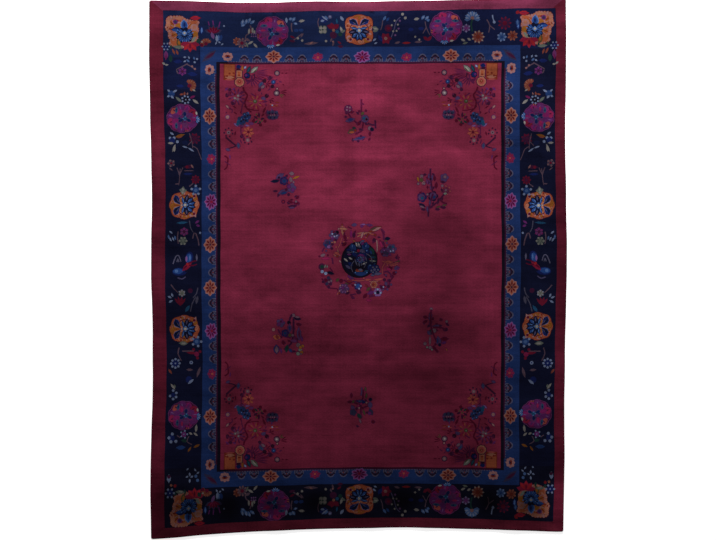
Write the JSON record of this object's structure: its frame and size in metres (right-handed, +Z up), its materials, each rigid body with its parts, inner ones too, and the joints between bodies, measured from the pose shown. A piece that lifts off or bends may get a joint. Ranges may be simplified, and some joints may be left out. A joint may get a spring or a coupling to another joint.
{
  "type": "peking rug",
  "caption": "Flat hand-knotted wool rug with a plain red field, a round flower medallion, corner vases and navy and blue flower borders.",
  "frame": {"origin": "middle of the underside's bounding box, on the floor", "axes": "+Z up through the pile, +Y along the rug's length towards the end that is at the top of the picture, +X to its right"},
  "size_m": [2.7242, 3.5284, 0.018],
  "materials": {
    "wool_pile": "matt cut wool pile, dark wine red with navy and blue borders"
  },
  "bodies": {
    "root": {"rug": "wool_pile"}
  },
  "joints": []
}
